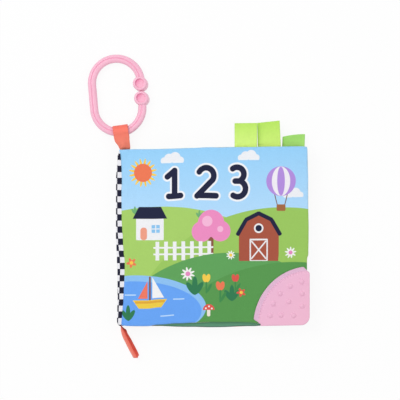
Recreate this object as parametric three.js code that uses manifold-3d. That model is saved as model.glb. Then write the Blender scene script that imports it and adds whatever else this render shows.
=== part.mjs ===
// Soft baby activity book, lying closed on its back cover.
// Millimetres. +Z goes up through the leaves, +X from the spine to the fore edge, +Y to the head.
// The origin is the middle of the back cover's flat underside.
import * as THREE from 'three';
import { mergeVertices } from 'three/addons/utils/BufferGeometryUtils.js';
import Module from 'manifold-3d';

const wasm = await Module();
wasm.setup();

// Leaves
const bookWidth = 164;
const bookHeight = 152;
const leafThickness = 3.9;
const leafGap = 0.3;
const seamWidth = 4.6;
const rimShare = 2 / 3;
const clothThickness = 0.45;
const filmThickness = 0.2;
const layerGap = 0.3;
const hemStep = 1.5;
const cornerDraw = 1.5;
const coverFootDraw = 3.4;
const coverForeDraw = 1;
const crownPower = 4;
const hollowColumns = 6;
const hollowRows = 6;

// Checkered spine binding
const bindingWidth = 4.6;

// Silicone teether on the fore-edge corner of the front cover
const teetherRadius = 50;
const teetherRim = 4.6;
const teetherWall = 1.5;
const teetherTop = 1.5;
const teetherCorner = 5.5;
const teetherRound = 0.7;
const rimTop = 0.8;
const rimEndAngle = THREE.MathUtils.degToRad(6);
const flatRamp = 30;
const bumpRadius = 2;
const bumpHeight = 0.8;
const bumpShares = [
  [0.13, 0.79], [0.33, 0.71], [0.51, 0.58], [0.13, 0.57], [0.62, 0.39],
  [0.36, 0.44], [0.13, 0.37], [0.68, 0.2], [0.48, 0.2], [0.28, 0.2],
];

// Ribbon tabs at the head
const ribbonThickness = 0.4;
const foldGap = 0.3;
const tabWidth = 19;
const longTabLength = 21.5;
const shortTabLength = 11;
const tabGap = 0.8;
const shortTabGap = 2;
const tabsFromFore = 2.9;

// Ring and the ribbon loop that holds it
const ringWidth = 50.7;
const ringLength = 70.5;
const barWidth = 7.1;
const barThickness = 6;
const discDiameter = 12;
const discThickness = 8;
const discGap = 0.4;
const discInset = 0.9;
const discPairUp = 1.8;
const dimpleRadius = 4;
const dimpleDepth = 1.1;
const dimpleShare = 0.75;
const discRound = 1.6;
const ringTurn = THREE.MathUtils.degToRad(5);
const loopWidth = 13;
const loopFootWidth = 9;
const loopTurn = THREE.MathUtils.degToRad(8);
const loopClearance = 1.5;
const loopCrotch = 1.5;
const strapLength = 9.35;
const strapFromSpine = 6.6;
const floorGap = 0.3;

// Ribbon tag at the foot of the spine
const tagLength = 31;
const tagWidth = 11;
const tagSpread = 4.6;
const tagNeck = 1.3;
const tagFromSpine = 2.6;
const tagTurn = THREE.MathUtils.degToRad(28);

const leafPitch = leafThickness + leafGap;
const leafHalf = leafThickness / 2;
const leafMiddle = (index) => index * leafPitch + leafHalf;
const bindingInner = leafHalf - clothThickness;
const seamHalf = bindingInner - layerGap;
const rimHalf = seamHalf * rimShare;
const headY = bookHeight / 2;
const foreX = bookWidth / 2;
const panelLeft = -foreX + clothThickness + layerGap;
const spineSeam = -foreX + bindingWidth + layerGap;
const hollowMiddle = (spineSeam + foreX - seamWidth) / 2;
const hollowHalfWidth = (foreX - seamWidth - spineSeam) / 2;
const hollowHalfHeight = headY - seamWidth;
const weldDistance = leafGap / 1000;
const teetherX = foreX + layerGap + teetherWall;
const teetherY = -(headY + layerGap + teetherWall);

const colours = {
  sky: 0x98d0ff, lime: 0xc4ee70, green: 0x98d566, coral: 0xf87c6c, ringPink: 0xf7b8d0,
  teetherPink: 0xebb4d0, check: 0x4c4f63, film: 0xe4e8ee, wadding: 0xf4f4f0,
  cream: 0xf6e7b4, mint: 0xbfe6cf, peach: 0xf9c9a8, lilac: 0xd9c8ee, leafGreen: 0x3f8a5a,
};

function finish(colour, roughness) {
  return new THREE.MeshStandardMaterial({ color: colour, roughness, metalness: 0 });
}

function pieceMesh(name, geometry, material) {
  const mesh = new THREE.Mesh(geometry, material);
  mesh.name = name;
  return mesh;
}

// Booleans on closed geometries
function solidOf(geometry) {
  const bare = new THREE.BufferGeometry();
  bare.setAttribute('position', geometry.getAttribute('position').clone());
  if (geometry.index) bare.setIndex(geometry.index.clone());
  const merged = mergeVertices(bare, weldDistance);
  return new wasm.Manifold(new wasm.Mesh({
    numProp: 3,
    vertProperties: new Float32Array(merged.getAttribute('position').array),
    triVerts: new Uint32Array(merged.index.array),
  }));
}

function geometryOf(solid) {
  const mesh = solid.getMesh();
  const geometry = new THREE.BufferGeometry();
  geometry.setAttribute('position', new THREE.BufferAttribute(new Float32Array(mesh.vertProperties), 3));
  geometry.setIndex(new THREE.BufferAttribute(new Uint32Array(mesh.triVerts), 1));
  geometry.computeVertexNormals();
  return geometry;
}

// A closed slab over a grid of lines: place(column, row) gives x, y, top and bottom
function gridSlab(columns, rows, place) {
  const positions = [];
  const faces = [];
  const across = columns + 1;
  const layer = across * (rows + 1);
  for (const side of ['top', 'bottom']) {
    for (let row = 0; row <= rows; row++) {
      for (let column = 0; column <= columns; column++) {
        const spot = place(column, row);
        positions.push(spot.x, spot.y, spot[side]);
      }
    }
  }
  for (let row = 0; row < rows; row++) {
    for (let column = 0; column < columns; column++) {
      const a = row * across + column;
      const b = a + 1;
      const c = a + across + 1;
      const d = a + across;
      faces.push(a, b, c, a, c, d);
      faces.push(a + layer, c + layer, b + layer, a + layer, d + layer, c + layer);
    }
  }
  const rim = [];
  for (let column = 0; column < columns; column++) rim.push(column);
  for (let row = 0; row < rows; row++) rim.push(row * across + columns);
  for (let column = columns; column > 0; column--) rim.push(rows * across + column);
  for (let row = rows; row > 0; row--) rim.push(row * across);
  rim.forEach((from, index) => {
    const to = rim[(index + 1) % rim.length];
    faces.push(from, from + layer, to + layer, from, to + layer, to);
  });
  const geometry = new THREE.BufferGeometry();
  geometry.setAttribute('position', new THREE.Float32BufferAttribute(positions, 3));
  geometry.setIndex(faces);
  geometry.computeVertexNormals();
  return geometry;
}

// Grid lines over a leaf's hollow, and the ones that its seam allowance adds
function hollowLines(low, high, count) {
  return Array.from({ length: count + 1 }, (_, i) => THREE.MathUtils.lerp(low, high, i / count));
}

function panelLines(low, lowSeam, highSeam, high, count) {
  return [low, lowSeam, ...hollowLines(lowSeam + hemStep, highSeam - hemStep, count), highSeam, high];
}

const columnLines = panelLines(panelLeft, spineSeam, foreX - seamWidth, foreX, hollowColumns);
const rowLines = panelLines(-headY, seamWidth - headY, headY - seamWidth, headY, hollowRows);
const flatMargin = Math.hypot(columnLines[3] - columnLines[2], rowLines[3] - rowLines[2]);

// Half the leaf's thickness at a place: sewn flat round the rim and under the teether, full in the middle
function halfAt(x, y) {
  const u = Math.min(1, Math.abs(x - hollowMiddle) / hollowHalfWidth);
  const v = Math.min(1, Math.abs(y) / hollowHalfHeight);
  const crown = (1 - u ** crownPower) * (1 - v ** crownPower);
  const away = Math.hypot(x - teetherX, y - teetherY) - teetherRadius;
  const open = THREE.MathUtils.smoothstep(away, flatMargin, flatMargin + flatRamp);
  return seamHalf + (leafHalf - seamHalf) * crown * open;
}

// How far an edge is drawn in, from nothing at its ends to the full draw in its middle
function drawAt(draw, place, half) {
  return draw * (1 - Math.min(1, Math.abs(place) / half) ** 2);
}

// One face of a leaf, with its turned seam allowance. side is 1 for the front face and -1 for the back.
// A flat panel is level from the spine binding on, so that the book rests on it
function clothPanel(side, isFlat, { footDraw, foreDraw }) {
  const lastColumn = columnLines.length - 1;
  const lastRow = rowLines.length - 1;
  return gridSlab(lastColumn, lastRow, (column, row) => {
    const edgeColumn = column === 0 || column === lastColumn;
    const edgeRow = row === 0 || row === lastRow;
    const seamColumn = column <= 1 || column >= lastColumn - 1;
    const seamRow = row <= 1 || row >= lastRow - 1;
    let x = columnLines[column];
    let y = rowLines[row];
    const half = halfAt(x, y);
    const sewn = edgeColumn || edgeRow ? rimHalf : half;
    const outer = isFlat && column > 1 ? leafHalf : sewn;
    const inner = seamColumn || seamRow ? layerGap / 2 : half - clothThickness;
    if (edgeColumn && edgeRow) {
      x -= Math.sign(x) * cornerDraw;
      y -= Math.sign(y) * cornerDraw;
    } else if (row === 0) {
      y += drawAt(footDraw, x - hollowMiddle, hollowHalfWidth);
    } else if (column === lastColumn) {
      x -= drawAt(foreDraw, y, hollowHalfHeight);
    }
    return side > 0 ? { x, y, top: outer, bottom: inner } : { x, y, top: -inner, bottom: -outer };
  });
}

// A layer inside the leaf, between two heights that follow the leaf's puff
function innerLayer(highAt, lowAt) {
  const xs = columnLines.slice(2, -2);
  const ys = rowLines.slice(2, -2);
  for (const lines of [xs, ys]) {
    lines[0] += layerGap;
    lines[lines.length - 1] -= layerGap;
  }
  return gridSlab(xs.length - 1, ys.length - 1, (column, row) => {
    const room = halfAt(xs[column], ys[row]) - clothThickness - layerGap;
    return { x: xs[column], y: ys[row], top: highAt(room), bottom: lowAt(room) };
  });
}

function crinkleFilm() {
  return innerLayer((room) => room, (room) => room - filmThickness);
}

function waddingPad() {
  return innerLayer((room) => room - filmThickness - layerGap, (room) => -room);
}

// An outline in Y and Z, given to a shape as x and y, pushed along X
function alongX(shape, width, curveSegments) {
  const geometry = new THREE.ExtrudeGeometry(shape, { depth: width, bevelEnabled: false, curveSegments });
  geometry.applyMatrix4(new THREE.Matrix4().set(
    0, 0, 1, -width / 2,
    1, 0, 0, 0,
    0, 1, 0, 0,
    0, 0, 0, 1,
  ));
  return geometry;
}

function spineBinding() {
  const shape = new THREE.Shape();
  shape.moveTo(0, -leafHalf);
  shape.lineTo(bindingWidth, -leafHalf);
  shape.lineTo(bindingWidth, -bindingInner);
  shape.lineTo(clothThickness, -bindingInner);
  shape.lineTo(clothThickness, bindingInner);
  shape.lineTo(bindingWidth, bindingInner);
  shape.lineTo(bindingWidth, leafHalf);
  shape.lineTo(0, leafHalf);
  shape.closePath();
  const geometry = new THREE.ExtrudeGeometry(shape, { depth: bookHeight, bevelEnabled: false });
  geometry.rotateX(Math.PI / 2);
  geometry.translate(-foreX, headY, 0);
  return geometry;
}

// Quarter outline about the teether's outer corner, which is at the origin here
function quarterShape(radius) {
  const shape = new THREE.Shape();
  shape.moveTo(-radius, 0);
  shape.lineTo(-teetherCorner, 0);
  shape.absarc(-teetherCorner, teetherCorner, teetherCorner, -Math.PI / 2, 0, false);
  shape.lineTo(0, radius);
  shape.absarc(0, 0, radius, Math.PI / 2, Math.PI, false);
  return shape;
}

function rimShape() {
  const low = Math.PI / 2 + rimEndAngle;
  const high = Math.PI - rimEndAngle;
  const middle = teetherRadius - teetherRim / 2;
  const inside = teetherRadius - teetherRim;
  const shape = new THREE.Shape();
  const roundEnd = (angle, start) => {
    const x = middle * Math.cos(angle);
    const y = middle * Math.sin(angle);
    shape.absarc(x, y, teetherRim / 2, start, start + Math.PI, false);
  };
  shape.absarc(0, 0, teetherRadius, low, high, false);
  roundEnd(high, high);
  shape.absarc(0, 0, inside, high, low, true);
  roundEnd(low, low + Math.PI);
  return shape;
}

function plate(shape, low, high, round) {
  const bevel = { bevelEnabled: round > 0, bevelThickness: round, bevelSize: round, bevelOffset: -round };
  const geometry = new THREE.ExtrudeGeometry(shape, {
    depth: high - low - 2 * round, bevelSegments: 2, curveSegments: 14, ...bevel,
  });
  geometry.translate(0, 0, low + round);
  return geometry;
}

// Its pocket takes the cover's sewn corner, and its back stays clear of the sewn corner of the leaf below
function cornerTeether() {
  const pocketHalf = seamHalf + layerGap;
  const bodyRadius = teetherRadius - teetherRim;
  const top = pocketHalf + teetherTop;
  const back = -(leafPitch - seamHalf - layerGap);
  let solid = solidOf(plate(quarterShape(bodyRadius + teetherRound), back, top, teetherRound));
  solid = solid.add(solidOf(plate(rimShape(), -(pocketHalf + rimTop), pocketHalf + rimTop, 0)));
  const overrun = teetherRadius;
  const slot = new THREE.BoxGeometry(teetherRadius + overrun, teetherRadius + overrun, 2 * pocketHalf);
  const half = (teetherRadius + overrun) / 2;
  slot.translate(-teetherWall - half, teetherWall + half, 0);
  solid = solid.subtract(solidOf(slot));
  for (const [foreShare, footShare] of bumpShares) {
    const bump = new THREE.SphereGeometry(bumpRadius, 10, 6);
    bump.rotateX(Math.PI / 2);
    bump.scale(1, 1, bumpHeight / bumpRadius);
    bump.translate(-foreShare * teetherRadius, footShare * teetherRadius, top);
    solid = solid.add(solidOf(bump));
  }
  return geometryOf(solid);
}

// A ribbon folded back on itself, lying along +Y from its open end at the origin
function foldedRibbon(length, width) {
  const outer = ribbonHalf;
  const inner = foldGap / 2;
  const shape = new THREE.Shape();
  shape.moveTo(0, -outer);
  shape.lineTo(length - outer, -outer);
  shape.absarc(length - outer, 0, outer, -Math.PI / 2, Math.PI / 2, false);
  shape.lineTo(0, outer);
  shape.lineTo(0, inner);
  shape.lineTo(length - outer, inner);
  shape.absarc(length - outer, 0, inner, Math.PI / 2, -Math.PI / 2, true);
  shape.lineTo(0, -inner);
  return alongX(shape, width, 5);
}

// Where a line from a point outside a circle touches it, on the side given by 1 or -1
function touchPoint(point, centre, radius, side) {
  const reach = point.distanceTo(centre);
  const toPoint = Math.atan2(point.y - centre.y, point.x - centre.x);
  const angle = toPoint - side * Math.acos(radius / reach);
  const spot = new THREE.Vector2(radius * Math.cos(angle), radius * Math.sin(angle)).add(centre);
  return { angle, spot };
}

// Ring, as a bar round a long oval that ends in two dimpled discs
const ringPathRadius = (ringWidth - barWidth) / 2;
const ringStraight = ringLength - ringWidth;
const loopHole = barWidth / 2 + loopClearance;
const loopOuter = loopHole + ribbonThickness;
const loopReach = strapLength + loopOuter;
const barHeight = floorGap + loopOuter;
const ribbonHalf = ribbonThickness + foldGap / 2;
const barSagitta = loopWidth ** 2 / (8 * ringPathRadius);
const discSpacing = discDiameter + discGap;
const discX = ringPathRadius - discInset;

function teardrop(shape, tip, centre, radius) {
  const low = touchPoint(tip[0], centre, radius, -1);
  const high = touchPoint(tip[1], centre, radius, 1);
  shape.moveTo(tip[0].x, tip[0].y);
  shape.lineTo(low.spot.x, low.spot.y);
  shape.absarc(centre.x, centre.y, radius, low.angle, high.angle, false);
  shape.lineTo(tip[1].x, tip[1].y);
  shape.closePath();
}

// The loop narrows to its sewn foot, whose end stays square to the book's edge
function ribbonLoop() {
  const centre = new THREE.Vector2(loopReach, barHeight - leafMiddle(0));
  const shape = new THREE.Shape();
  teardrop(shape, [new THREE.Vector2(0, -ribbonHalf), new THREE.Vector2(0, ribbonHalf)], centre, loopOuter);
  const hole = new THREE.Path();
  const crotch = new THREE.Vector2(strapLength - loopCrotch, centre.y / 2);
  teardrop(hole, [crotch, crotch], centre, loopHole);
  shape.holes.push(hole);
  const geometry = alongX(shape, loopWidth, 14);
  const position = geometry.getAttribute('position');
  for (let i = 0; i < position.count; i++) {
    const along = Math.min(1, position.getY(i) / strapLength);
    const x = position.getX(i) * THREE.MathUtils.lerp(loopFootWidth / loopWidth, 1, along);
    position.setX(i, x);
    position.setY(i, position.getY(i) - x * Math.tan(loopTurn) * (1 - along));
  }
  geometry.computeVertexNormals();
  return geometry;
}

function ringPath() {
  const half = ringStraight / 2;
  const points = [new THREE.Vector2(discX, discPairUp + discSpacing / 2)];
  const steps = 16;
  for (const [start, middle] of [[0, half], [Math.PI, -half]]) {
    for (let i = 0; i <= steps; i++) {
      const angle = start + Math.PI * i / steps;
      const spot = new THREE.Vector2(ringPathRadius * Math.cos(angle), ringPathRadius * Math.sin(angle));
      points.push(spot.setY(spot.y + middle));
    }
  }
  points.push(new THREE.Vector2(discX, discPairUp - discSpacing / 2));
  return points;
}

// An oval section carried along a flat open path, closed at both ends
function flatSweep(points, halfWidth, halfHeight, sides) {
  const positions = [];
  const faces = [];
  points.forEach((point, index) => {
    const before = points[Math.max(0, index - 1)];
    const after = points[Math.min(points.length - 1, index + 1)];
    const along = after.clone().sub(before).normalize();
    for (let side = 0; side < sides; side++) {
      const angle = 2 * Math.PI * side / sides;
      const out = halfWidth * Math.cos(angle);
      positions.push(point.x - along.y * out, point.y + along.x * out, halfHeight * Math.sin(angle));
    }
  });
  for (let ring = 0; ring < points.length - 1; ring++) {
    for (let side = 0; side < sides; side++) {
      const next = (side + 1) % sides;
      const a = ring * sides + side;
      const b = ring * sides + next;
      faces.push(a, b, b + sides, a, b + sides, a + sides);
    }
  }
  const last = (points.length - 1) * sides;
  for (let side = 1; side < sides - 1; side++) {
    faces.push(0, side + 1, side);
    faces.push(last, last + side, last + side + 1);
  }
  const geometry = new THREE.BufferGeometry();
  geometry.setAttribute('position', new THREE.Float32BufferAttribute(positions, 3));
  geometry.setIndex(faces);
  return geometry;
}

function dimpledDisc() {
  const radius = discDiameter / 2;
  const half = discThickness / 2;
  const flat = radius - discRound;
  const profile = [
    new THREE.Vector2(0, -half + dimpleDepth),
    new THREE.Vector2(dimpleRadius / 2, -half + dimpleDepth * dimpleShare),
    new THREE.Vector2(dimpleRadius, -half),
    new THREE.Vector2(flat, -half),
    new THREE.Vector2(radius, -half + discRound),
    new THREE.Vector2(radius, half - discRound),
    new THREE.Vector2(flat, half),
    new THREE.Vector2(dimpleRadius, half),
    new THREE.Vector2(dimpleRadius / 2, half - dimpleDepth * dimpleShare),
    new THREE.Vector2(0, half - dimpleDepth),
  ];
  const geometry = new THREE.LatheGeometry(profile, 20);
  geometry.rotateX(Math.PI / 2);
  return geometry;
}

// The ring with the stretch of its foot that the loop holds centred on the origin
function linkRing() {
  let solid = solidOf(flatSweep(ringPath(), barWidth / 2, barThickness / 2, 12));
  for (const side of [1, -1]) {
    const disc = dimpledDisc();
    disc.translate(discX, discPairUp + side * discSpacing / 2, 0);
    solid = solid.add(solidOf(disc));
  }
  const geometry = geometryOf(solid);
  geometry.translate(0, ringStraight / 2 + ringPathRadius - barSagitta / 2, 0);
  return geometry;
}

// Tag seen on its edge: two layers that swell apart from a pinched foot and meet in a fold
function spineTag() {
  const neck = tagNeck / 2;
  const swell = tagSpread / 2;
  const inside = swell - ribbonThickness;
  const shape = new THREE.Shape();
  shape.moveTo(0, -neck);
  shape.bezierCurveTo(tagLength / 3, -neck, tagLength / 3, -swell, tagLength - swell, -swell);
  shape.absarc(tagLength - swell, 0, swell, -Math.PI / 2, Math.PI / 2, false);
  shape.bezierCurveTo(tagLength / 3, swell, tagLength / 3, neck, 0, neck);
  shape.closePath();
  const hole = new THREE.Path();
  hole.moveTo(tagLength / 3, 0);
  hole.bezierCurveTo(tagLength / 2, -neck / 2, tagLength / 2, -inside, tagLength - swell, -inside);
  hole.absarc(tagLength - swell, 0, inside, -Math.PI / 2, Math.PI / 2, false);
  hole.bezierCurveTo(tagLength / 2, inside, tagLength / 2, neck / 2, tagLength / 3, 0);
  shape.holes.push(hole);
  return new THREE.ExtrudeGeometry(shape, { depth: tagWidth, bevelEnabled: false, curveSegments: 8 });
}

// Assembly, from the back cover up
const evenEdges = { footDraw: 0, foreDraw: 0 };
const leaves = [
  { name: 'back_cover', front: colours.peach, back: colours.green, edges: evenEdges },
  { name: 'page_3', front: colours.mint, back: colours.lilac, edges: evenEdges },
  { name: 'page_2', front: colours.cream, back: colours.sky, edges: evenEdges },
  { name: 'page_1', front: colours.leafGreen, back: colours.peach, edges: evenEdges },
  {
    name: 'front_cover', front: colours.sky, back: colours.cream,
    edges: { footDraw: coverFootDraw, foreDraw: coverForeDraw },
  },
];
function leafGroup({ name, front, back, edges }, index) {
  const group = new THREE.Group();
  group.position.z = leafMiddle(index);
  group.add(pieceMesh(`${name}_front_cloth`, clothPanel(1, false, edges), finish(front, 0.85)));
  group.add(pieceMesh(`${name}_back_cloth`, clothPanel(-1, index === 0, edges), finish(back, 0.85)));
  group.add(pieceMesh(`${name}_crinkle_film`, crinkleFilm(), finish(colours.film, 0.25)));
  group.add(pieceMesh(`${name}_wadding`, waddingPad(), finish(colours.wadding, 1)));
  group.add(pieceMesh(`${name}_spine_binding`, spineBinding(), finish(colours.check, 0.85)));
  return group;
}

const book = new THREE.Group();
leaves.forEach((leaf, index) => book.add(leafGroup(leaf, index)));

const teether = pieceMesh('corner_teether', cornerTeether(), finish(colours.teetherPink, 0.5));
teether.position.set(teetherX, teetherY, leafMiddle(leaves.length - 1));
book.add(teether);

// Tabs, from the fore edge to the left
const tabs = [
  { name: 'green_tab', leaf: 1, length: shortTabLength, colour: colours.green, before: tabsFromFore },
  { name: 'second_lime_tab', leaf: 2, length: longTabLength, colour: colours.lime, before: shortTabGap },
  { name: 'first_lime_tab', leaf: 3, length: longTabLength, colour: colours.lime, before: tabGap },
];
let tabRight = foreX;
for (const { name, leaf, length, colour, before } of tabs) {
  tabRight -= before;
  const tab = pieceMesh(name, foldedRibbon(length, tabWidth), finish(colour, 0.8));
  tab.position.set(tabRight - tabWidth / 2, headY + layerGap, leafMiddle(leaf));
  tabRight -= tabWidth;
  book.add(tab);
}

const loop = pieceMesh('ring_ribbon', ribbonLoop(), finish(colours.coral, 0.8));
const loopFoot = new THREE.Vector3(-foreX + strapFromSpine, headY + layerGap, leafMiddle(0));
loop.position.copy(loopFoot);
loop.rotation.z = loopTurn;
book.add(loop);

// The ring leans from the loop down to the surface that the book lies on
const ring = pieceMesh('link_ring', linkRing(), finish(colours.ringPink, 0.35));
const discReach = ringStraight / 2 + ringPathRadius + discPairUp + discSpacing / 2 + discDiameter / 2;
const ringLean = Math.asin((barHeight - discThickness / 2 - floorGap) / discReach);
ring.position.set(
  loopFoot.x - loopReach * Math.sin(loopTurn),
  loopFoot.y + loopReach * Math.cos(loopTurn),
  barHeight,
);
ring.rotation.order = 'ZYX';
ring.rotation.x = -ringLean;
ring.rotation.z = ringTurn;
book.add(ring);

const tag = pieceMesh('spine_foot_tag', spineTag(), finish(colours.coral, 0.8));
tag.position.set(-foreX + tagFromSpine, -headY - layerGap - tagNeck / 2, floorGap);
tag.rotation.z = -Math.PI / 2 + tagTurn;
book.add(tag);

export default book;
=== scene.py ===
from math import acos, atan2, copysign, cos, degrees, exp, hypot, pi, radians, sin, sqrt, tan

import bmesh
import bpy
from mathutils import Matrix, Vector, noise


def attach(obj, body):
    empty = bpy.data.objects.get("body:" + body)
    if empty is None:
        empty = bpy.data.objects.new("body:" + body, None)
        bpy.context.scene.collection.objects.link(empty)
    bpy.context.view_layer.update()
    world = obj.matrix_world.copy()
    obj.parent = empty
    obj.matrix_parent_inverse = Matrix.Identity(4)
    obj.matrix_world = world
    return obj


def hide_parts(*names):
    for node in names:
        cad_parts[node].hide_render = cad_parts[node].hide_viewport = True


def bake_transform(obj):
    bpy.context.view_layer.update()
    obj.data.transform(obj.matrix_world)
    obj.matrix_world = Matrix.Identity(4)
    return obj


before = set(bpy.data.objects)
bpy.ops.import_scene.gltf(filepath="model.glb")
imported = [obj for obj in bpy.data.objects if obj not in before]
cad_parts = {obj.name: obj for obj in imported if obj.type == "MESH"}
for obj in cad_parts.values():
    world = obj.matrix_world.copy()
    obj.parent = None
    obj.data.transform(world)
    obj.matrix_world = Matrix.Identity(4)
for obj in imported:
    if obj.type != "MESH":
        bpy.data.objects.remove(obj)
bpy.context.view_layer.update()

# Baby activity book of soft padded leaves. Sizes in the settings are millimetres.
mm = 0.001


def ink(code):
    parts = [int(code[i:i + 2], 16) / 255 for i in (0, 2, 4)]
    return [*(p / 12.92 if p <= 0.04045 else ((p + 0.055) / 1.055) ** 2.4 for p in parts), 1.0]


def eased(share):
    share = min(1.0, max(0.0, share))
    return share * share * (3 - 2 * share)


def mixed(low, high, share):
    return low + (high - low) * share


def fromTable(table, at):
    if at <= table[0][0]:
        return table[0][1]
    for (a, low), (b, high) in zip(table, table[1:]):
        if at <= b:
            return mixed(low, high, eased((at - a) / (b - a)))
    return table[-1][1]


# Shader sums
class Wire:
    def __init__(self, tree, socket=None):
        self.tree = tree
        self.socket = socket

    def node(self, kind, settings, inputs, output=0):
        made = self.tree.nodes.new(kind)
        for key, value in settings.items():
            setattr(made, key, value)
        for key, value in inputs.items():
            if isinstance(value, Wire):
                self.tree.links.new(value.socket, made.inputs[key])
            else:
                made.inputs[key].default_value = value
        return Wire(self.tree, made.outputs[output])

    def maths(self, operation, *others, clamp=False):
        values = dict(enumerate([self, *others]))
        return self.node("ShaderNodeMath", {"operation": operation, "use_clamp": clamp}, values)

    def vector(self, operation, *others, output=0):
        values = dict(enumerate([self, *others]))
        return self.node("ShaderNodeVectorMath", {"operation": operation}, values, output)

    def __add__(self, other):
        return self.maths("ADD", other)

    def __sub__(self, other):
        return self.maths("SUBTRACT", other)

    def __rsub__(self, other):
        return self.node("ShaderNodeMath", {"operation": "SUBTRACT"}, {0: other, 1: self})

    def __mul__(self, other):
        return self.maths("MULTIPLY", other)

    def __truediv__(self, other):
        return self.maths("DIVIDE", other)

    def __abs__(self):
        return self.maths("ABSOLUTE")

    def part(self, index):
        return self.vector("DOT_PRODUCT", (1.0 - index, float(index), 0.0), output=1)

    def local(self, place, turn=0.0, size=(1.0, 1.0)):
        away = self.vector("SUBTRACT", (*place, 0.0))
        if not turn:
            return away.vector("MULTIPLY", (1 / size[0], 1 / size[1], 0.0))
        cosine, sine = cos(radians(turn)), sin(radians(turn))
        across = away.vector("DOT_PRODUCT", (cosine / size[0], sine / size[0], 0.0), output=1)
        along = away.vector("DOT_PRODUCT", (-sine / size[1], cosine / size[1], 0.0), output=1)
        return self.node("ShaderNodeCombineXYZ", {}, {"X": across, "Y": along})

    def blend(self, base, top):
        return self.node("ShaderNodeMix", {"data_type": "RGBA"}, {0: self, 6: base, 7: top}, 2)

    def scaled(self, amount):
        return self.node("ShaderNodeVectorMath", {"operation": "SCALE"}, {0: self, 3: amount})

    def noise(self, scale, detail):
        return self.node("ShaderNodeTexNoise", {}, {"Vector": self, "Scale": scale, "Detail": detail})


def finish(name, look, **fixed):
    made = bpy.data.materials.new(name)
    made.use_nodes = True
    tree = made.node_tree
    shader = tree.nodes["Principled BSDF"]
    for socket, value in fixed.items():
        shader.inputs[socket.replace("_", " ")].default_value = value
    start = Wire(tree)
    uv = start.node("ShaderNodeTexCoord", {}, {}, 2)
    place = start.node("ShaderNodeTexCoord", {}, {}, 3)
    for socket, wire in look(uv, place).items():
        if socket == "Bump":
            height, distance = wire
            wire = height.node("ShaderNodeBump", {}, {"Strength": 1.0, "Distance": distance, "Height": height})
            socket = "Normal"
        tree.links.new(wire.socket, shader.inputs[socket])
    return made


# Printed pictures, in millimetres from a panel's lower left corner
edgeSoftness = 0.25


def combined(wires, pick="MINIMUM"):
    found = wires[0]
    for wire in wires[1:]:
        found = found.maths(pick, wire)
    return found


def motif(draw):
    # a picture of several parts, with places and lengths counted from its middle in units of its size
    def placed(page, place, size, *codes):
        page.start, page.unit = place, size
        draw(page, *codes)
        page.start, page.unit = (0.0, 0.0), 1.0

    return placed


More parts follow.
